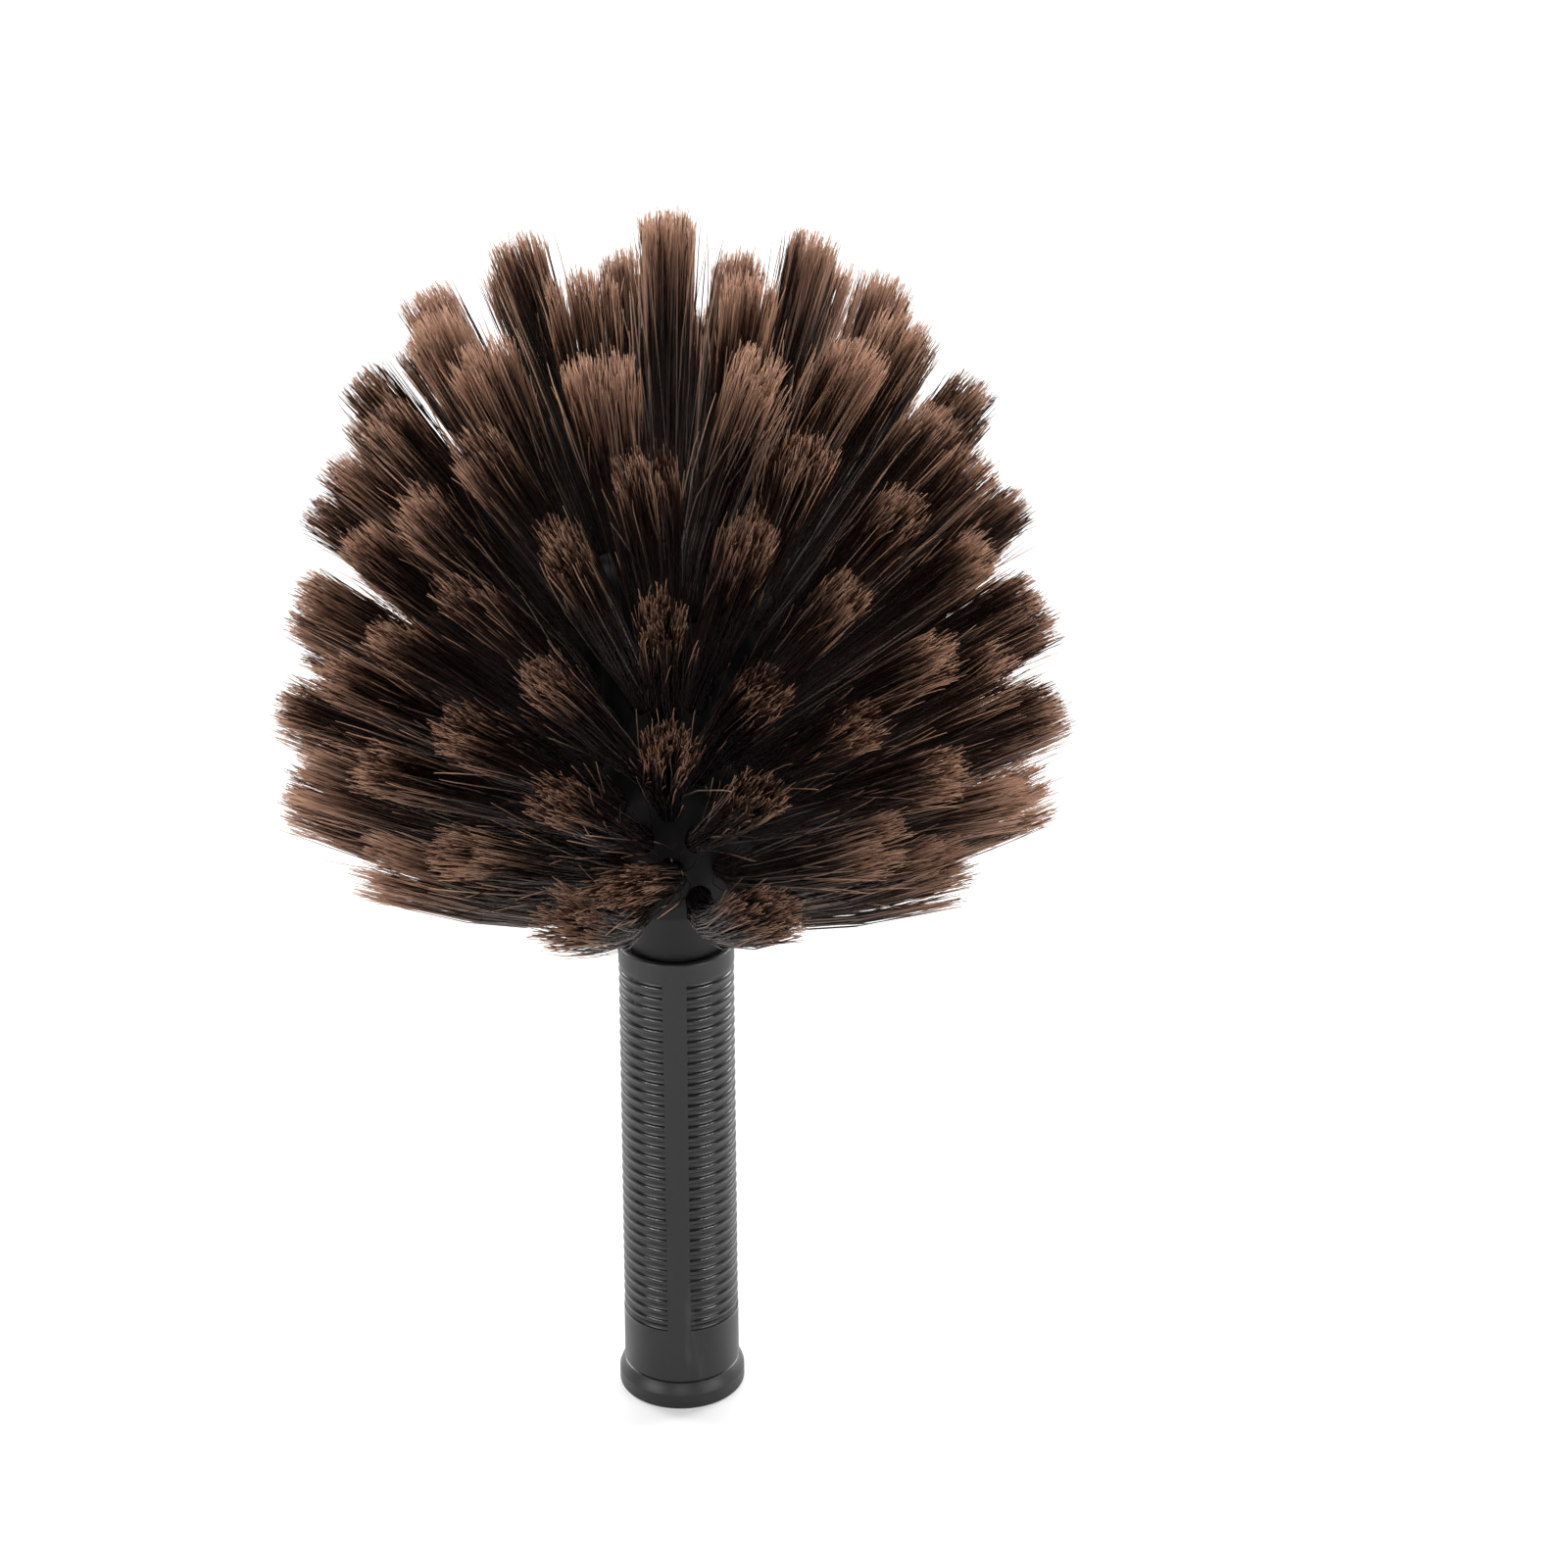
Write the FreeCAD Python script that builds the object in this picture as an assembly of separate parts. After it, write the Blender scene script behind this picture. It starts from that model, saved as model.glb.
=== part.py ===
import FreeCAD
import Part
import math
import os

# Cobweb brush: a moulded grip handle with a pole socket, a neck plug that pulls out of it,
# and a domed block drilled for rings of bristle tufts, each held by a flat wire anchor.
# Millimetres, +Z up along the brush. The origin is the centre of the handle's foot, and the front is -Y.

Vector = FreeCAD.Vector
Y_AXIS = Vector(0, 1, 0)
Z_AXIS = Vector(0, 0, 1)
ORIGIN = Vector(0, 0, 0)

# How far cutting shapes reach past what they cut
overrun = 2.0

# Handle: a slim tube with a flanged foot, whose wall thickens towards the foot
handle_length = 98.6
bore_radius = 9.6
rim_wall = 1.7
foot_wall = 2.1
flange_overhang = 1.05
flange_height = 3.3
flange_shoulder = 2.2
crease_depth = 0.3
crease_width = 0.5
foot_edge_radius = 0.6
rim_edge_radius = 0.5
rim_chamfer = 0.9

# Handle: two grooved panels, left and right, with plain bands front and back
groove_count = 34
groove_pitch = 2.3
groove_width = 1.2
groove_depth = 0.22
rib_height = 0.19
panel_sink = 0.22
collar_height = 3.9
band_width = 4.6

# Handle: the stop in the bore that the neck plug seats on
socket_depth = 30.5
stop_thickness = 3.0
stop_hole_radius = 7.5

# Handle: coarse pole thread in the foot
mouth_depth = 4.6
mouth_chamfer = 0.5
thread_height = 1.4
thread_pitch = 5.08
thread_turns = 5
thread_crest_width = 3.2
thread_foot_width = 4.4
thread_sink = 0.3

# Neck plug: spigot in the handle, waist at the rim, plain neck, tenon in the block
fit_clearance = 0.05
spigot_top_below_rim = 1.6
waist_radius = 8.7
waist_top_above_rim = 0.4
neck_radius = 9.4
neck_height = 8.9
tenon_radius = 6.5
tenon_length = 22.0
plug_hollow_radius = 6.6
plug_hollow_depth = 31.0
plug_edge_chamfer = 0.8

# Tuft block: a domed cylinder with a coned underside
block_radius = 20.0
block_height = 73.1
underside_rise = 4.5
block_heart_radius = 12.0

# Tufts: one bundle shape, set in drilled holes
tuft_length = 59.4
tuft_tip_radius = 5.5
tuft_tip_crown = 1.6
hole_radius = 2.5
bundle_clearance = 0.1

# Anchors: flat wire pressed across each hole through the fold of its bundle
anchor_thickness = 0.35
anchor_height = 1.8
anchor_bite = 0.25
anchor_fold = 1.2

# Rings of tufts, from the lowest to the crown: height up the block, tilt above level, count and turn
first_ring_land = 1.5
RING_HEIGHT_SHARES = (0.0, 0.09, 0.186, 0.288, 0.394, 0.508, 0.621, 0.742, 0.864, 0.947, 1.0)
RING_TILT_DEGREES = (20, 24, 28, 33, 38, 42.5, 48, 53, 60.5, 73, 90)
RING_COUNTS = (12, 12, 12, 12, 12, 12, 12, 12, 12, 5, 1)
RING_TURN_DEGREES = (15, 0, 15, 0, 15, 0, 15, 0, 15, -35, 0)

# Levels and radii worked out from the sizes above
handle_top_radius = bore_radius + rim_wall
handle_foot_radius = bore_radius + foot_wall
flange_radius = handle_foot_radius + flange_overhang
thread_crest_radius = bore_radius - thread_height
stop_top = handle_length - socket_depth
stop_bottom = stop_top - stop_thickness
plug_bottom = stop_top + fit_clearance
spigot_top = handle_length - spigot_top_below_rim
waist_top = handle_length + waist_top_above_rim
seam = handle_length + neck_height
spigot_radius = bore_radius - fit_clearance
block_edge = seam + underside_rise
block_top = seam + block_height
dome_centre = block_top - block_radius
hole_depth = block_radius - block_heart_radius
bundle_radius = hole_radius - bundle_clearance


def segment(start, end):
    """Straight edge between two points of a half section, each given as (radius, height)."""
    return Part.makeLine(Vector(start[0], 0, start[1]), Vector(end[0], 0, end[1]))


def arc(start, middle, end):
    """Circular edge through three points of a half section, each given as (radius, height)."""
    points = [Vector(radius, 0, height) for radius, height in (start, middle, end)]
    return Part.Arc(*points).toShape()


def corner(centre, radius, start_degrees, end_degrees):
    """Round corner of a half section: an arc about its centre, between two angles from level."""
    angles = (start_degrees, (start_degrees + end_degrees) / 2, end_degrees)
    points = []
    for angle in angles:
        turn = math.radians(angle)
        points.append((centre[0] + radius * math.cos(turn), centre[1] + radius * math.sin(turn)))
    return arc(*points)


def revolve(edges):
    """Solid of revolution about Z from the closed half section that the edges make."""
    face = Part.Face(Part.Wire(edges))
    return face.revolve(ORIGIN, Z_AXIS, 360)


def polygon(points):
    """Closed run of straight edges through the points of a half section."""
    following = points[1:] + points[:1]
    return [segment(start, end) for start, end in zip(points, following)]


def handle_radius_at(height):
    """Outside radius of the handle's taper at a height above the foot."""
    share = height / handle_length
    return handle_foot_radius + (handle_top_radius - handle_foot_radius) * share


def handle_blank():
    """The handle without ribs or thread: flange, shoulder, crease, taper, rounded rim and stepped bore."""
    shoulder_top = flange_height + flange_shoulder
    crease_top = shoulder_top + crease_width
    rim_side = handle_length - rim_edge_radius
    rim_flat = handle_radius_at(rim_side) - rim_edge_radius
    foot_flat = flange_radius - foot_edge_radius
    shoulder_side = handle_radius_at(shoulder_top)
    rise_share = 0.5
    hang_share = 0.6
    shoulder_middle = (
        shoulder_side + (flange_radius - shoulder_side) * hang_share,
        flange_height + flange_shoulder * rise_share,
    )
    crease_floor = (shoulder_side - crease_depth, (shoulder_top + crease_top) / 2)
    points_inside = [
        (rim_flat, handle_length),
        (bore_radius + rim_chamfer, handle_length),
        (bore_radius, handle_length - rim_chamfer),
        (bore_radius, stop_top),
        (stop_hole_radius, stop_top),
        (stop_hole_radius, stop_bottom),
        (bore_radius, stop_bottom),
        (bore_radius, mouth_chamfer),
        (bore_radius + mouth_chamfer, 0),
        (foot_flat, 0),
    ]
    edges = [
        corner((foot_flat, foot_edge_radius), foot_edge_radius, -90, 0),
        segment((flange_radius, foot_edge_radius), (flange_radius, flange_height)),
        arc((flange_radius, flange_height), shoulder_middle, (shoulder_side, shoulder_top)),
        segment((shoulder_side, shoulder_top), crease_floor),
        segment(crease_floor, (handle_radius_at(crease_top), crease_top)),
        segment((handle_radius_at(crease_top), crease_top), (handle_radius_at(rim_side), rim_side)),
        corner((rim_flat, rim_side), rim_edge_radius, 0, 90),
    ]
    edges += [segment(start, end) for start, end in zip(points_inside, points_inside[1:])]
    return revolve(edges)


def panel_arc(bottom, width, bulge):
    """One scallop of a grooved panel's section, bulging out by a rib's height or in by a groove's depth."""
    heights = (bottom, bottom + width / 2, bottom + width)
    bulges = (0, bulge, 0)
    points = [(handle_radius_at(at) - panel_sink + out, at) for at, out in zip(heights, bulges)]
    return arc(*points)


def rib_cutter():
    """What the grooved panels lose: round ribs with a groove between, left and right of the plain bands."""
    rib_width = groove_pitch - groove_width
    panel_top = handle_length - collar_height
    panel_bottom = panel_top - groove_count * groove_pitch + rib_width
    outside = handle_foot_radius + overrun
    edges = [panel_arc(panel_bottom, groove_width, -groove_depth)]
    level = panel_bottom + groove_width
    for _ in range(groove_count - 1):
        edges.append(panel_arc(level, rib_width, rib_height))
        edges.append(panel_arc(level + rib_width, groove_width, -groove_depth))
        level += groove_pitch
    low = (handle_radius_at(panel_bottom) - panel_sink, panel_bottom)
    high = (handle_radius_at(level) - panel_sink, level)
    edges.append(segment(high, (outside, level)))
    edges.append(segment((outside, level), (outside, panel_bottom)))
    edges.append(segment((outside, panel_bottom), low))
    band_reach = outside + overrun
    band_rise = level - panel_bottom + 2 * overrun
    corner_point = Vector(-band_width / 2, -band_reach, panel_bottom - overrun)
    bands = Part.makeBox(band_width, 2 * band_reach, band_rise, corner_point)
    return revolve(edges).cut(bands)


def thread_ridge():
    """The pole thread's helical ridge: swept past its crest and its foot, then trimmed to a true bore."""
    slope = (thread_foot_width - thread_crest_width) / thread_height
    inner = thread_crest_radius - thread_sink
    outer = bore_radius + thread_sink
    inner_width = thread_crest_width - slope * thread_sink
    outer_width = thread_foot_width + slope * thread_sink
    outline = [
        (inner, -inner_width / 2),
        (outer, -outer_width / 2),
        (outer, outer_width / 2),
        (inner, inner_width / 2),
    ]
    path = []
    for turn in range(thread_turns):
        helix = Part.makeHelix(thread_pitch, thread_pitch, thread_crest_radius)
        helix.translate(Vector(0, 0, turn * thread_pitch))
        path += helix.Edges
    sweep = Part.BRepOffsetAPI.MakePipeShell(Part.Wire(path))
    sweep.setBiNormalMode(Z_AXIS)
    sweep.add(Part.Wire(polygon(outline)))
    sweep.build()
    sweep.makeSolid()
    low = Vector(0, 0, -thread_pitch)
    reach = (thread_turns + 2) * thread_pitch
    trim = Part.makeCylinder(thread_crest_radius, reach, low)
    ridge = sweep.shape().cut(trim)
    ridge.translate(Vector(0, 0, mouth_depth))
    return ridge


def handle_grip():
    """The finished handle: blank, less the rib panels' grooves, with the pole thread's ridge added."""
    return handle_blank().cut(rib_cutter()).fuse(thread_ridge())


def neck_plug():
    """Hollow spigot, waist, neck and tenon, turned in one piece."""
    tenon_top = seam + tenon_length
    return revolve(polygon([
        (plug_hollow_radius, plug_bottom),
        (spigot_radius - plug_edge_chamfer, plug_bottom),
        (spigot_radius, plug_bottom + plug_edge_chamfer),
        (spigot_radius, spigot_top),
        (waist_radius, spigot_top),
        (waist_radius, waist_top),
        (neck_radius, waist_top),
        (neck_radius, seam),
        (tenon_radius, seam),
        (tenon_radius, tenon_top - plug_edge_chamfer),
        (tenon_radius - plug_edge_chamfer, tenon_top),
        (0, tenon_top),
        (0, plug_bottom + plug_hollow_depth),
        (plug_hollow_radius, plug_bottom + plug_hollow_depth),
    ]))


def block_blank():
    """The block before drilling: coned underside, straight side, dome, and the tenon's blind hole."""
    tenon_hole_radius = tenon_radius + fit_clearance
    tenon_hole_top = seam + tenon_length + fit_clearance
    dome_turn = math.radians(45)
    dome_middle = (block_radius * math.cos(dome_turn), dome_centre + block_radius * math.sin(dome_turn))
    points = [
        (0, block_top),
        (0, tenon_hole_top),
        (tenon_hole_radius, tenon_hole_top),
        (tenon_hole_radius, seam),
        (neck_radius, seam),
        (block_radius, block_edge),
        (block_radius, dome_centre),
    ]
    edges = [segment(start, end) for start, end in zip(points, points[1:])]
    edges.append(arc(points[-1], dome_middle, points[0]))
    return revolve(edges)


def tuft_places():
    """For each ring, the placements that carry a bundle from the origin, pointing up, to its hole's floor."""
    first_height = block_edge + hole_radius + first_ring_land
    rings = []
    for share, tilt, count, turn in zip(RING_HEIGHT_SHARES, RING_TILT_DEGREES, RING_COUNTS, RING_TURN_DEGREES):
        height = first_height + share * (block_top - first_height)
        above = max(0, height - dome_centre)
        radius = math.sqrt(max(0, block_radius ** 2 - above ** 2))
        lean = FreeCAD.Rotation(Y_AXIS, 90 - tilt)
        places = []
        for step in range(count):
            azimuth = FreeCAD.Rotation(Z_AXIS, turn - 90 + 360 * step / count)
            aim = azimuth.multiply(lean)
            mouth = azimuth.multVec(Vector(radius, 0, height))
            floor = mouth - aim.multVec(Vector(0, 0, hole_depth))
            places.append(FreeCAD.Placement(floor, aim))
        rings.append(places)
    return rings


def anchor_blank(extra):
    """Flat wire across a hole, above the fold, grown by an extra margin on its thin sides."""
    reach = hole_radius + anchor_bite
    thick = anchor_thickness + 2 * extra
    tall = anchor_height + 2 * extra
    return Part.makeBox(2 * reach, thick, tall, Vector(-reach, -thick / 2, anchor_fold - extra))


def bundle():
    """One tuft: its folded root with the anchor's slot, a flaring body and a slightly crowned tip."""
    tip = hole_depth + tuft_length
    shoulder = tip - tuft_tip_crown
    crown_radius = (tuft_tip_radius ** 2 + tuft_tip_crown ** 2) / (2 * tuft_tip_crown)
    half_turn = math.asin(tuft_tip_radius / crown_radius) / 2
    crown_middle = (crown_radius * math.sin(half_turn), tip - crown_radius * (1 - math.cos(half_turn)))
    points = [
        (0, tip),
        (0, 0),
        (bundle_radius, 0),
        (bundle_radius, hole_depth),
        (tuft_tip_radius, shoulder),
    ]
    edges = [segment(start, end) for start, end in zip(points, points[1:])]
    edges.append(arc(points[-1], crown_middle, points[0]))
    return revolve(edges).cut(anchor_blank(fit_clearance))


def placed(shape, places):
    """Group of separate copies of a shape, one at each placement."""
    copies = []
    for place in places:
        copy = shape.copy()
        copy.Placement = place
        copies.append(copy)
    return Part.makeCompound(copies)


rings = tuft_places()
all_places = [place for ring in rings for place in ring]
drill = Part.makeCylinder(hole_radius, hole_depth + block_radius)
holes = placed(drill, all_places)

pieces = {
    "handle_grip": handle_grip(),
    "neck_plug": neck_plug(),
    "tuft_block": block_blank().cut(holes.Solids),
    "tuft_anchors": placed(anchor_blank(0), all_places),
}
tuft = bundle()
for number, ring in enumerate(rings, 1):
    name = "tuft_crown" if number == len(rings) else "tufts_ring_%02d" % number
    pieces[name] = placed(tuft, ring)

os.makedirs("parts", exist_ok=True)
for name, shape in pieces.items():
    shape.exportStep("parts/%s.step" % name)
    print("%-14s solids %3d  volume %9.1f mm3" % (name, len(shape.Solids), shape.Volume))
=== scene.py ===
import bpy
import numpy as np
from mathutils import Matrix, Vector


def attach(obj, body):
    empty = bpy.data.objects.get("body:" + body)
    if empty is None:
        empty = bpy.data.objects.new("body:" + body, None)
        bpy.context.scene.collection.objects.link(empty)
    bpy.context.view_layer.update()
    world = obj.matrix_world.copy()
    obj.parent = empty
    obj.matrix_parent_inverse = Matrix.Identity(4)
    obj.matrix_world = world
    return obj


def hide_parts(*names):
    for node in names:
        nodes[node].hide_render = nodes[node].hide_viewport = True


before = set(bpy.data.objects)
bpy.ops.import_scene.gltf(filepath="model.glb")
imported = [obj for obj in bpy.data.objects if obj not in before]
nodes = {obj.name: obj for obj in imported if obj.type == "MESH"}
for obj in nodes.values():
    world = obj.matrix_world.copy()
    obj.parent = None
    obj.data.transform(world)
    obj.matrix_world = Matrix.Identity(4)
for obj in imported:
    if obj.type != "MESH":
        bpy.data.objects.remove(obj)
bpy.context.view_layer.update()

# Handle grip: one slim black tube, injection moulded in a satin plastic with two panels of fine ribs.
# The hand polishes the crests of the ribs, and the skin carries a fine grain and a few faint rubs.
MM = 0.001
HANDLE_LENGTH = 98.6 * MM
HANDLE_FOOT_RADIUS = 11.7 * MM
HANDLE_TAPER = 0.4 * MM
CREST_EDGE = (-0.55 * MM, -0.15 * MM)
BAND_EDGE = (2.1 * MM, 2.4 * MM)
PANEL_FOOT_EDGE = (16.6 * MM, 17.4 * MM)
PANEL_RIM_EDGE = (94.4 * MM, 95.2 * MM)
GRIP_GRAIN = 0.02 * MM


def srgb(*channels):
    """Linear colour with alpha from 0-255 display channels: c = ((v / 255 + 0.055) / 1.055) ** 2.4."""
    values = np.array(channels) / 255
    linear = np.where(values > 0.04045, ((values + 0.055) / 1.055) ** 2.4, values / 12.92)
    return (*linear.tolist(), 1.0)


class Look:
    """A Principled material built node by node; each call returns the socket that the next one takes."""

    def __init__(self, name):
        self.material = bpy.data.materials.new(name)
        self.material.use_nodes = True
        self.tree = self.material.node_tree
        self.shader = self.tree.nodes["Principled BSDF"]
        self.place = self.node("ShaderNodeTexCoord").outputs["Object"]

    def node(self, kind, **settings):
        """New node of a kind, with its settings."""
        made = self.tree.nodes.new(kind)
        for key, value in settings.items():
            setattr(made, key, value)
        return made

    def feed(self, socket, value):
        """Link a socket, or write a constant on it."""
        if isinstance(value, bpy.types.NodeSocket):
            self.tree.links.new(value, socket)
        else:
            socket.default_value = value

    def set(self, **inputs):
        """Feed the Principled shader's inputs, with _ for a space in their names."""
        for key, value in inputs.items():
            self.feed(self.shader.inputs[key.replace("_", " ")], value)

    def noise(self, scale, detail=2.0, stretch=(1, 1, 1), rough=0.5):
        """Noise per metre of the object, with its axes stretched, about 0 to 1."""
        mapping = self.node("ShaderNodeMapping")
        self.feed(mapping.inputs["Vector"], self.place)
        mapping.inputs["Scale"].default_value = stretch
        made = self.node("ShaderNodeTexNoise")
        self.feed(made.inputs["Vector"], mapping.outputs["Vector"])
        made.inputs["Scale"].default_value = scale
        made.inputs["Detail"].default_value = detail
        made.inputs["Roughness"].default_value = rough
        return made.outputs["Fac"]

    def remap(self, value, low, high, to_low, to_high):
        """Smooth step: to_low up to low, to_high from high on."""
        made = self.node("ShaderNodeMapRange", interpolation_type="SMOOTHSTEP")
        for socket, given in zip(made.inputs, (value, low, high, to_low, to_high)):
            self.feed(socket, given)
        return made.outputs[0]

    def math(self, operation, a, b=0.0):
        made = self.node("ShaderNodeMath", operation=operation)
        self.feed(made.inputs[0], a)
        self.feed(made.inputs[1], b)
        return made.outputs[0]

    def ramp(self, value, *stops):
        """Colour ramp from (position, colour) stops."""
        made = self.node("ShaderNodeValToRGB")
        elements = made.color_ramp.elements
        while len(elements) < len(stops):
            elements.new(0.5)
        for element, (position, colour) in zip(elements, stops):
            element.position = position
            element.color = colour
        self.feed(made.inputs["Fac"], value)
        return made.outputs["Color"]

    def blend(self, factor, a, b):
        """Colour a * (1 - factor) + b * factor."""
        made = self.node("ShaderNodeMix", data_type="RGBA")
        self.feed(made.inputs["Factor"], factor)
        self.feed(made.inputs["A"], a)
        self.feed(made.inputs["B"], b)
        return made.outputs["Result"]

    def bump(self, height, depth, strength=1.0):
        """Normal of a relief of this depth in metres."""
        made = self.node("ShaderNodeBump")
        made.inputs["Distance"].default_value = depth
        made.inputs["Strength"].default_value = strength
        self.feed(made.inputs["Height"], height)
        return made.outputs["Normal"]

    def axis_radius(self):
        """Distance from the Z axis, r = |(x, y, 0)|."""
        flat = self.node("ShaderNodeVectorMath", operation="MULTIPLY")
        self.feed(flat.inputs[0], self.place)
        flat.inputs[1].default_value = (1, 1, 0)
        length = self.node("ShaderNodeVectorMath", operation="LENGTH")
        self.feed(length.inputs[0], flat.outputs["Vector"])
        return length.outputs["Value"]

    def axis(self, letter):
        """Place along X, Y or Z."""
        split = self.node("ShaderNodeSeparateXYZ")
        self.feed(split.inputs["Vector"], self.place)
        return split.outputs[letter]


grip = Look("handle_plastic_look")
rim_radius = HANDLE_FOOT_RADIUS - HANDLE_TAPER
taper = grip.remap(grip.axis("Z"), 0.0, HANDLE_LENGTH, HANDLE_FOOT_RADIUS, rim_radius)
crest = grip.remap(grip.math("SUBTRACT", grip.axis_radius(), taper), *CREST_EDGE, 0.0, 1.0)
cloud = grip.noise(60, 3)
rub = grip.remap(grip.noise(240, 4, (1, 1, 0.16), 0.62), 0.60, 0.78, 0.0, 1.0)
grain = grip.noise(5200, 2)
grip_colour = grip.ramp(cloud, (0.25, srgb(11, 11, 12)), (0.75, srgb(17, 16, 16)))
grip_colour = grip.blend(grip.math("MULTIPLY", rub, 0.35), grip_colour, srgb(62, 61, 61))
panel = grip.remap(grip.math("ABSOLUTE", grip.axis("X")), *BAND_EDGE, 0.0, 1.0)
panel = grip.math("MULTIPLY", panel, grip.remap(grip.axis("Z"), *PANEL_FOOT_EDGE, 0.0, 1.0))
panel = grip.math("MULTIPLY", panel, grip.remap(grip.axis("Z"), *PANEL_RIM_EDGE, 1.0, 0.0))
polish = grip.math("MULTIPLY", grip.math("MULTIPLY", crest, panel), 0.23)
satin = grip.math("SUBTRACT", grip.remap(cloud, 0.3, 0.7, 0.40, 0.46), polish)
satin = grip.math("ADD", satin, grip.math("MULTIPLY", rub, 0.12))
grip.set(Base_Color=grip_colour, Specular_IOR_Level=0.4, Roughness=satin)
grip.set(Normal=grip.bump(grain, GRIP_GRAIN, 0.6))
nodes["handle_grip"].data.materials[0] = grip.material

# Neck plug: a turned-looking moulding in the same black plastic, pushed into the handle's rim.
# Its skin is duller than the handle's, with faint rings left by the mould.
NECK_RING_DEPTH = 0.03 * MM
neck = Look("neck_plastic_look")
neck_rings = neck.noise(900, 2, (0.05, 0.05, 1))
neck_cloud = neck.noise(90, 3)
neck.set(Base_Color=neck.ramp(neck_cloud, (0.3, srgb(16, 16, 17)), (0.7, srgb(22, 21, 22))))
neck.set(Roughness=neck.remap(neck_cloud, 0.3, 0.7, 0.46, 0.56), Specular_IOR_Level=0.2)
neck.set(Normal=neck.bump(neck_rings, NECK_RING_DEPTH, 0.5))
nodes["neck_plug"].data.materials[0] = neck.material

# Tuft block: the drilled black core that the tufts are stapled into, seen only in slivers between them.
# A plain matt moulding with drill marks and a little lint in scattered patches.
DRILL_MARK_DEPTH = 0.05 * MM
core = Look("block_plastic_look")
core_cloud = core.noise(140, 4)
lint = core.remap(core.noise(700, 3, (1, 1, 0.4)), 0.62, 0.74, 0.0, 0.4)
core_colour = core.ramp(core_cloud, (0.3, srgb(18, 17, 17)), (0.7, srgb(25, 23, 23)))
core.set(Base_Color=core.blend(lint, core_colour, srgb(46, 39, 36)), Specular_IOR_Level=0.2)
core.set(Roughness=core.remap(core_cloud, 0.3, 0.7, 0.52, 0.66))
core.set(Normal=core.bump(core.noise(1800, 3), DRILL_MARK_DEPTH, 0.6))
nodes["tuft_block"].data.materials[0] = core.material

# Tuft anchors: short bits of flat drawn steel wire, punched across each hole to hold the folded bundle.
# Dull grey on the drawn faces, with fine streaks along the wire.
wire = Look("anchor_wire_look")
streak = wire.noise(2600, 3, (1, 1, 0.2))
wire.set(Base_Color=wire.ramp(streak, (0.3, srgb(70, 68, 66)), (0.7, srgb(104, 101, 97))), Metallic=1.0)
wire.set(Roughness=wire.remap(streak, 0.3, 0.7, 0.34, 0.5))
nodes["tuft_anchors"].data.materials[0] = wire.material

# Tufts: 114 bundles of soft synthetic filament, each folded in half and stapled into its hole.
# The filament is a greyish brown along the shaft, kept lighter there as painted fill light in the shaded
# gaps between tufts, darkens to brown below the tips and turns tan at the ragged tips.
ROOT_RADIUS = 2.3 * MM
FILAMENT_RADIUS = 0.125 * MM
CORE_BELOW_TUFTS = 30 * MM
CLUMPS = 16
TIP_OVAL = 0.12
LEAN_ASIDE, LEAN_UP = 1.8 * MM, 1.3 * MM
LOOSE = 0.5 * MM
BOW, STRAY_BOW = 0.35 * MM, 1.0 * MM
CURL = 0.3 * MM
TIP_PROUD, TIP_RAGGED, RIM_SHORTER, STRAY_SHORTER = 0.9 * MM, 2.8 * MM, 1.5 * MM, 12 * MM
TONE, TONE_SPREAD, CLUMP_TONE, TUFT_TONE = 0.4, 0.17, 0.08, 0.04
TUFT_COUNTS = [("tufts_ring_%02d" % ring, 12) for ring in range(1, 10)]
TUFT_COUNTS += [("tufts_ring_10", 5), ("tuft_crown", 1)]
PLAIN_STATIONS = np.array([0.0, 0.12, 0.4, 0.7, 0.93, 0.97, 1.0])
BENT_STATIONS = np.array([0.0, 0.12, 0.23, 0.4, 0.62, 0.85, 1.0])
PLAIN_SHAPE = dict(stations=PLAIN_STATIONS, filaments=400, tip_radius=4.8 * MM, flare=1.1, hang=0.0,
                   sag=0.6 * MM, shorter=0.0, strays=0.08, wander=0.45, painted_glint_share=0.05, painted_light_paler=0.0,
                   first_lean=(0.0, 0.0))
BENT_SHAPE = dict(PLAIN_SHAPE, stations=BENT_STATIONS, filaments=430, flare=0.75)
# Top rings toned paler where back light falls: painted light.
TOP_SHAPE = dict(PLAIN_SHAPE, tip_radius=5.9 * MM, sag=0.0, painted_light_paler=0.22)
# Each ring's pale share paints glints on its filaments; its paler tone paints light on the lowest ring and
# the top rings.
RING_SHAPES = {
    "tufts_ring_01": dict(BENT_SHAPE, tip_radius=6.4 * MM, hang=4.0 * MM, sag=-2.5 * MM, shorter=4.0 * MM,
                          strays=0.03, wander=0.25, painted_glint_share=0.4, painted_light_paler=0.06),
    "tufts_ring_02": dict(BENT_SHAPE, tip_radius=5.6 * MM, hang=1.5 * MM, strays=0.14, wander=0.7,
                          painted_glint_share=0.25, first_lean=(4.0 * MM, -2.0 * MM)),
    "tufts_ring_03": dict(PLAIN_SHAPE, strays=0.14, wander=0.8, painted_glint_share=0.12),
    "tufts_ring_04": dict(PLAIN_SHAPE, strays=0.12, wander=0.7, painted_glint_share=0.08),
    "tufts_ring_07": dict(PLAIN_SHAPE, tip_radius=5.2 * MM),
    "tufts_ring_08": dict(PLAIN_SHAPE, tip_radius=5.4 * MM),
    "tufts_ring_09": TOP_SHAPE,
    "tufts_ring_10": TOP_SHAPE,
    "tuft_crown": TOP_SHAPE,
}


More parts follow.
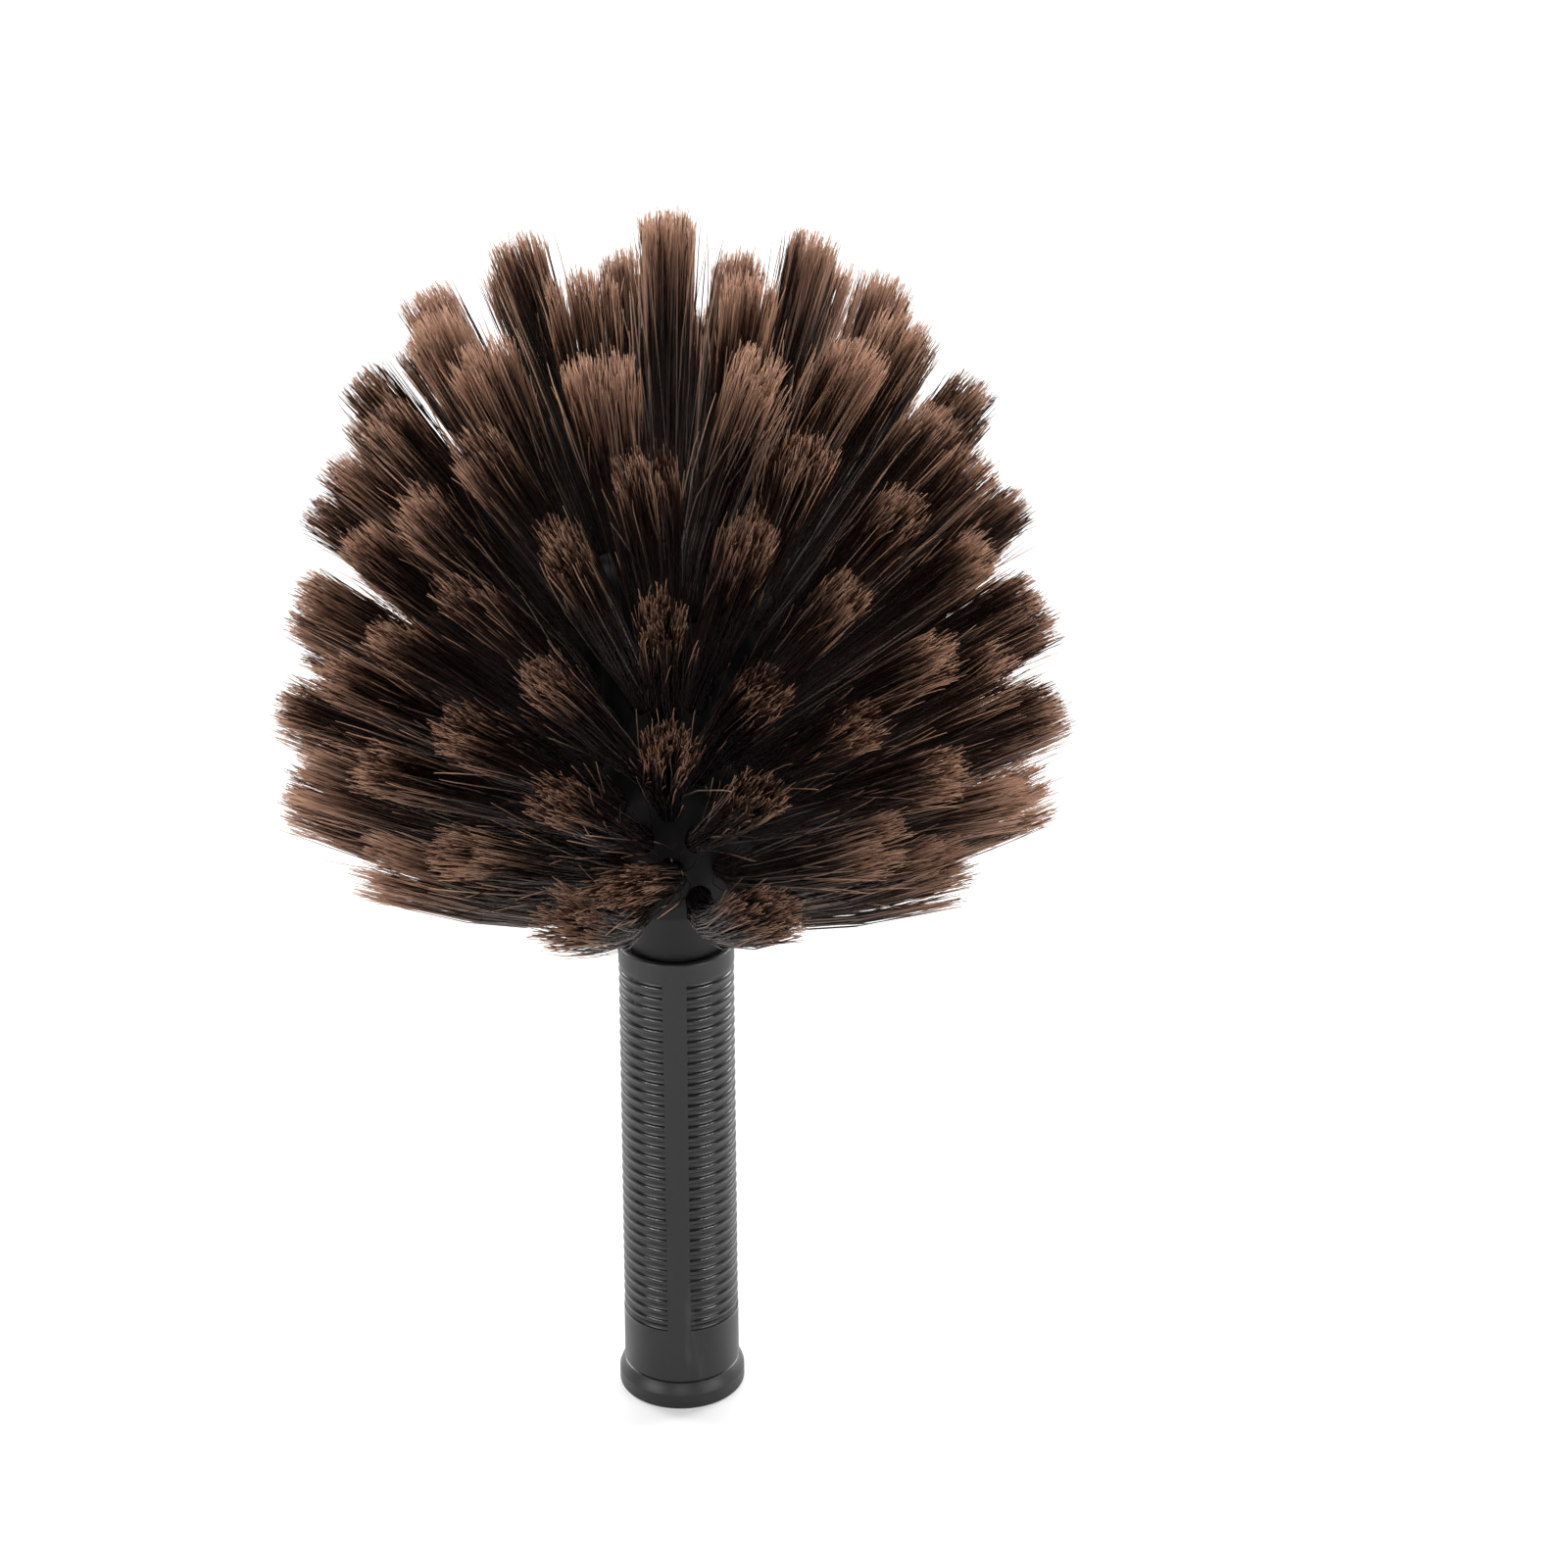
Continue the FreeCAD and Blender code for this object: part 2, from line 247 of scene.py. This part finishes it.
def tuft_axes(node, count):
    """Floor, outward direction and length of each tuft: every solid is one block of the node's vertices,
    and its longest principal direction is the tuft's axis."""
    points = np.empty(len(node.data.vertices) * 3, np.float32)
    node.data.vertices.foreach_get("co", points)
    blocks = points.reshape(count, -1, 3).astype(float)
    centres = (blocks.min(1) + blocks.max(1)) / 2
    spread = blocks - blocks.mean(1, keepdims=True)
    axes = np.linalg.svd(spread, full_matrices=False)[2][:, 0]
    core_place = np.array([0, 0, centres[:, 2].min() - CORE_BELOW_TUFTS])
    axes *= np.sign(np.einsum("ti,ti->t", axes, centres - core_place))[:, None]
    along = np.einsum("tvi,ti->tv", blocks, axes)
    middle = blocks.mean(1)
    start = along.min(1) - np.einsum("ti,ti->t", middle, axes)
    floors = middle + axes * start[:, None]
    return floors, axes, along.max(1) - along.min(1)


def filament_mesh(name, paths, radii, along, shade):
    """Closed three-sided filaments from centre lines paths[f, s] and radii[f, s].
    Corner k of a station stands at angle 2 pi k / 3 on two directions across the line; the ends are capped.
    The place along the filament and its shade are kept as attributes for the material."""
    filaments, stations = paths.shape[:2]
    tangent = np.gradient(paths, axis=1)
    tangent /= np.linalg.norm(tangent, axis=2, keepdims=True)
    helper = np.where(np.abs(tangent[:, :1, 2:]) < 0.8, [[[0, 0, 1.0]]], [[[1.0, 0, 0]]])
    across = np.cross(helper, tangent)
    across /= np.linalg.norm(across, axis=2, keepdims=True)
    other = np.cross(tangent, across)
    turn = 2 * np.pi * np.arange(3) / 3
    ring = across[:, :, None] * np.cos(turn)[:, None] + other[:, :, None] * np.sin(turn)[:, None]
    points = paths[:, :, None] + ring * radii[:, :, None, None]
    first = np.arange(filaments)[:, None, None] * (stations * 3)
    step = np.arange(stations - 1)[None, :, None] * 3
    low, high = np.arange(3), (np.arange(3) + 1) % 3
    base = first + step
    quads = np.stack([base + low, base + high, base + 3 + high, base + 3 + low], 3).reshape(-1, 4)
    ends = first[:, 0] + np.array([2, 1, 0])
    tips = first[:, 0] + (stations - 1) * 3 + np.array([0, 1, 2])
    corners = np.concatenate([quads.ravel(), ends.ravel(), tips.ravel()])
    sizes = np.concatenate([np.full(len(quads), 4), np.full(2 * filaments, 3)])
    mesh = bpy.data.meshes.new(name)
    mesh.vertices.add(points.size // 3)
    mesh.vertices.foreach_set("co", points.astype(np.float32).ravel())
    mesh.loops.add(len(corners))
    mesh.loops.foreach_set("vertex_index", corners.astype(np.int32))
    mesh.polygons.add(len(sizes))
    mesh.polygons.foreach_set("loop_start", (np.cumsum(sizes) - sizes).astype(np.int32))
    mesh.polygons.foreach_set("use_smooth", sizes == 4)
    kept = (("along", np.tile(along, (filaments, 1))), ("shade", np.tile(shade[:, None], stations)))
    for key, values in kept:
        attribute = mesh.attributes.new(key, "FLOAT", "POINT")
        attribute.data.foreach_set("value", np.repeat(values, 3, 1).astype(np.float32).ravel())
    mesh.update(calc_edges=True)
    mesh.validate()
    made = bpy.data.objects.new(name, mesh)
    bpy.context.scene.collection.objects.link(made)
    return made


def grow_tufts(name, node, count, seed, stations, filaments, tip_radius, flare, hang, sag, shorter, strays,
               wander, painted_glint_share, painted_light_paler, first_lean):
    """Filament lines of one ring. With s from 0 at the hole's floor to 1 at the tip and t from 0 at the
    hole's mouth to 1 at the tip, a filament runs at floor + axis * L * s, moved across by
    root + (tip - root) * t ** flare + bow * sin(pi * t) + curl * c(s), and bent by
    lean * t ** 2 - z * (hang * sin(pi * t ** 0.6) + sag * t ** 2).
    L is the tuft's length less shorter, with ragged ends, and c turns only the last few millimetres.
    Tips draw together in clumps on an oval of the tuft's own. Each tuft leans its own way, and the first
    one by first_lean more (aside, up). A share of strays wanders off. A pale share, larger at the tuft's
    edge and among strays, paints glints along the shafts, and the ring's paler tone adds painted light."""
    random = np.random.default_rng(seed)
    floors, axes, lengths = tuft_axes(node, count)
    shape = (count, filaments)
    scatter = lambda size: random.normal(0, size, shape) + 1j * random.normal(0, size, shape)
    side = np.cross(axes, [0, 0, 1.0] if abs(axes[0, 2]) < 0.99 else [0, 1.0, 0])
    side /= np.linalg.norm(side, axis=1, keepdims=True)
    up = np.cross(side, axes)
    share = random.random(shape) ** 0.62
    angle = random.random(shape) * 2 * np.pi
    root = share * ROOT_RADIUS * np.exp(1j * angle)
    cluster = (count, CLUMPS)
    clumps = np.sqrt(random.random(cluster)) * np.exp(2j * np.pi * random.random(cluster))
    tip = share * np.exp(1j * (angle + random.normal(0, 0.25, shape)))
    nearest = np.abs(tip[:, :, None] - clumps[:, None]).argmin(2)
    tip += (np.take_along_axis(clumps, nearest, 1) - tip) * random.uniform(0.15, 0.7, shape)
    stray = random.random(shape) < strays
    oval = random.normal(0, TIP_OVAL, (count, 1)) * np.exp(2j * np.pi * random.random((count, 1)))
    tip = (tip + oval * tip.conj() + np.where(stray, scatter(wander), 0)) * tip_radius
    bow = scatter(BOW) + np.where(stray, scatter(STRAY_BOW), 0)
    curl = scatter(CURL) * np.where(stray, 0.4, 1)
    ragged = TIP_PROUD - np.abs(random.normal(0, TIP_RAGGED, shape)) - RIM_SHORTER * share ** 2
    ragged -= 0.4 * np.abs(curl)
    ragged -= np.where(stray, random.uniform(0, STRAY_SHORTER, shape), 0)
    reach = lengths[:, None] + ragged - shorter
    s = stations
    t = np.clip((s - s[1]) / (1 - s[1]), 0, 1)
    hook = np.interp(s, [0.93, 0.97, 1], [0, 0.4, 1])
    across = root[..., None] + (tip - root)[..., None] * t ** flare + bow[..., None] * np.sin(np.pi * t)
    across = across + curl[..., None] * hook
    lean = random.normal(0, LEAN_ASIDE, (count, 1)) * side + random.normal(0, LEAN_UP, (count, 1)) * up
    lean[0] += first_lean[0] * side[0] + first_lean[1] * up[0]
    loose = random.normal(0, LOOSE, (count, filaments, 3)) + lean[:, None]
    droop = hang * np.sin(np.pi * t ** 0.6) * random.uniform(0.8, 1.2, (count, filaments, 1))
    droop = droop + sag * t ** 2
    paths = floors[:, None, None] + axes[:, None, None] * (reach[..., None] * s)[..., None]
    paths = paths + side[:, None, None] * across.real[..., None] + up[:, None, None] * across.imag[..., None]
    paths = paths + loose[:, :, None] * (t ** 2)[:, None] - np.array([0, 0, 1.0]) * droop[..., None]
    thick = FILAMENT_RADIUS * random.uniform(0.75, 1.2, shape)
    radii = thick[..., None] * np.interp(s, [0, 0.6, 0.93, 1], [1, 1, 0.85, 0.42])
    tone = random.normal(TONE, TONE_SPREAD, shape)
    tone += np.take_along_axis(random.normal(0, CLUMP_TONE, cluster), nearest, 1)
    # Pale filaments, more of them at the tuft's edge and among strays, are painted glints along the shafts.
    is_painted_glint = random.random(shape) < np.where(stray, 0.4, painted_glint_share * (0.8 + 2.5 * share ** 6))
    tone += np.where(is_painted_glint, random.uniform(0.25, 0.5, shape), 0)
    # The paler tone lifts whole rings as painted light: back light on the top rings, front and under light
    # on the lowest ring.
    tone += random.normal(0, TUFT_TONE, (count, 1)) - 0.12 * share ** 2 + 0.04 + painted_light_paler
    tone = np.clip(tone, 0, 1).ravel()
    return filament_mesh(name, paths.reshape(-1, len(s), 3), radii.reshape(-1, len(s)), s, tone)


hair = Look("bristle_look")
along = hair.node("ShaderNodeAttribute", attribute_name="along").outputs["Fac"]
shade = hair.node("ShaderNodeAttribute", attribute_name="shade").outputs["Fac"]
fade = hair.math("ADD", along, hair.math("MULTIPLY", hair.math("SUBTRACT", shade, TONE), 0.7))
# Greyish shaft brown, lighter than the brown below the tips: painted fill light in the gaps. The tan at the
# tips is the dye.
brown_and_painted_light = hair.ramp(fade, (0.4, srgb(68, 60, 58)), (0.66, srgb(62, 49, 44)), (0.92, srgb(46, 35, 31)),
                  (1.0, srgb(78, 64, 58)))
glow = hair.ramp(fade, (0.45, srgb(54, 33, 24)), (0.72, srgb(104, 66, 47)), (0.92, srgb(136, 102, 83)),
                 (1.0, srgb(236, 207, 188)))
# Pale filaments: a painted glint, grey white along most of the shaft.
painted_glint = hair.remap(shade, 0.66, 0.95, 0.0, 0.8)
painted_glint = hair.math("MULTIPLY", painted_glint, hair.remap(along, 0.1, 0.35, 0.0, 1.0))
brown_and_painted_light = hair.blend(painted_glint, brown_and_painted_light, srgb(172, 154, 144))
hair.set(Base_Color=brown_and_painted_light, Roughness=hair.remap(shade, 0.0, 1.0, 0.28, 0.16), Specular_IOR_Level=0.3)
through = hair.node("ShaderNodeBsdfTranslucent")
hair.feed(through.inputs["Color"], glow)
mixed = hair.node("ShaderNodeMixShader")
hair.feed(mixed.inputs["Fac"], hair.remap(along, 0.4, 0.99, 0.1, 0.66))
hair.feed(mixed.inputs[1], hair.shader.outputs["BSDF"])
hair.feed(mixed.inputs[2], through.outputs["BSDF"])
hair.feed(hair.tree.nodes["Material Output"].inputs["Surface"], mixed.outputs["Shader"])

for seed, (node_name, count) in enumerate(TUFT_COUNTS):
    piece = grow_tufts(node_name.replace("tuft", "bristle"), nodes[node_name], count,
                       seed, **RING_SHAPES.get(node_name, PLAIN_SHAPE))
    piece.data.materials.append(hair.material)
    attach(piece, "brush_head")
    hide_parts(node_name)

# Stage: a wide pale floor that reads as white round the object and keeps its soft shadow.
# Broad lights stand above and on both sides behind, with a weak fill and two long low softboxes in front.
# The room is dim, with a white backdrop behind that shows only to the camera and in reflections.
FLOOR_HALF = 8.0
FLOOR_COLOUR = (0.72, 0.72, 0.72, 1)
FLOOR_GLOW = 0.3
SUNS = (("top_light", 178, 50, 1.8, 40), ("left_light", -130, 22, 3.2, 30),
        ("right_light", 130, 22, 3.2, 30), ("front_fill", 2, 21, 0.75, 16))
STRIPS = (("left_strip", -50, 12, 4.6), ("right_strip", 58, 12, 4.6))
STRIP_WIDTH, STRIP_HEIGHT = 0.50, 0.05
ROOM_LEVEL = 0.15
BACKDROP_EDGE = 0.3
WHITE = (1, 1, 1, 1)
corners = [(-FLOOR_HALF, -FLOOR_HALF, 0), (FLOOR_HALF, -FLOOR_HALF, 0), (FLOOR_HALF, FLOOR_HALF, 0),
           (-FLOOR_HALF, FLOOR_HALF, 0)]
floor_mesh = bpy.data.meshes.new("floor")
floor_mesh.from_pydata(corners, [], [(0, 1, 2, 3)])
floor = bpy.data.objects.new("floor", floor_mesh)
bpy.context.scene.collection.objects.link(floor)
ground = Look("floor_look")
ground.set(Base_Color=FLOOR_COLOUR, Roughness=0.9, Specular_IOR_Level=0.0)
path = ground.node("ShaderNodeLightPath").outputs
seen = ground.math("ADD", path["Is Glossy Ray"], path["Is Transmission Ray"])
seen = ground.math("ADD", path["Is Camera Ray"], seen)
ground.set(Emission_Color=WHITE, Emission_Strength=ground.math("MULTIPLY", seen, FLOOR_GLOW))
floor_mesh.materials.append(ground.material)


def hang_lamp(name, lamp, azimuth, elevation):
    """Stand a lamp 1 m from the handle's middle and turn it to face the handle.
    It shines from azimuth (0 at -Y, 90 at +X) and elevation, in degrees."""
    made = bpy.data.objects.new(name, lamp)
    turn, rise = np.radians(azimuth), np.radians(elevation)
    source = Vector((np.sin(turn) * np.cos(rise), -np.cos(turn) * np.cos(rise), np.sin(rise)))
    made.location = source + Vector((0, 0, HANDLE_LENGTH / 2))
    made.rotation_mode = "QUATERNION"
    made.rotation_quaternion = source.to_track_quat("Z", "Y")
    bpy.context.scene.collection.objects.link(made)


for name, azimuth, elevation, strength, spread in SUNS:
    sun = bpy.data.lights.new(name, "SUN")
    sun.energy = strength
    sun.angle = np.radians(spread)
    hang_lamp(name, sun, azimuth, elevation)
for name, azimuth, elevation, power in STRIPS:
    strip = bpy.data.lights.new(name, "AREA")
    strip.shape = "RECTANGLE"
    strip.size, strip.size_y, strip.energy = STRIP_WIDTH, STRIP_HEIGHT, power
    hang_lamp(name, strip, azimuth, elevation)
world = bpy.data.worlds.new("studio")
world.use_nodes = True
sky = world.node_tree
background = sky.nodes["Background"]
background.inputs["Color"].default_value = WHITE
towards = sky.nodes.new("ShaderNodeSeparateXYZ")
sky.links.new(sky.nodes.new("ShaderNodeTexCoord").outputs["Generated"], towards.inputs["Vector"])
behind = sky.nodes.new("ShaderNodeMapRange")
behind.inputs["From Max"].default_value = BACKDROP_EDGE
sky.links.new(towards.outputs["Y"], behind.inputs["Value"])
rays = sky.nodes.new("ShaderNodeLightPath").outputs
mirrored = sky.nodes.new("ShaderNodeMath")
sky.links.new(rays["Is Glossy Ray"], mirrored.inputs[0])
sky.links.new(rays["Is Transmission Ray"], mirrored.inputs[1])
backdrop = sky.nodes.new("ShaderNodeMath")
backdrop.operation = "MULTIPLY_ADD"
sky.links.new(mirrored.outputs[0], backdrop.inputs[0])
sky.links.new(behind.outputs[0], backdrop.inputs[1])
sky.links.new(rays["Is Camera Ray"], backdrop.inputs[2])
level = sky.nodes.new("ShaderNodeMapRange")
level.inputs["To Min"].default_value = ROOM_LEVEL
sky.links.new(backdrop.outputs[0], level.inputs["Value"])
sky.links.new(level.outputs[0], background.inputs["Strength"])
bpy.context.scene.world = world
bpy.context.scene.view_settings.view_transform = "Standard"

# Camera: a short telephoto half a metre from the brush, a little above it and looking down.
# Fitted to the curve of the handle's ribs, and turned slightly so that the brush stands left of centre.
CAMERA_AZIMUTH = np.radians(2.5)
CAMERA_DISTANCE = 525.6 * MM
CAMERA_HEIGHT = 342.1 * MM
CAMERA_PITCH = np.radians(21.88)
CAMERA_TURN = np.radians(2.28)
LENS_MM, SENSOR_MM = 68.5, 36
NEAREST = 10 * MM
lens = bpy.data.cameras.new("camera")
lens.lens = LENS_MM
lens.sensor_width = SENSOR_MM
lens.clip_start = NEAREST
camera = bpy.data.objects.new("camera", lens)
out = CAMERA_DISTANCE * np.array([np.sin(CAMERA_AZIMUTH), -np.cos(CAMERA_AZIMUTH)])
stand = Vector((*out, CAMERA_HEIGHT))
swing = Matrix.Rotation(CAMERA_AZIMUTH - CAMERA_TURN, 4, "Z")
tilt = Matrix.Rotation(np.pi / 2 - CAMERA_PITCH, 4, "X")
camera.matrix_world = Matrix.Translation(stand) @ (swing @ tilt)
bpy.context.scene.collection.objects.link(camera)
bpy.context.scene.camera = camera
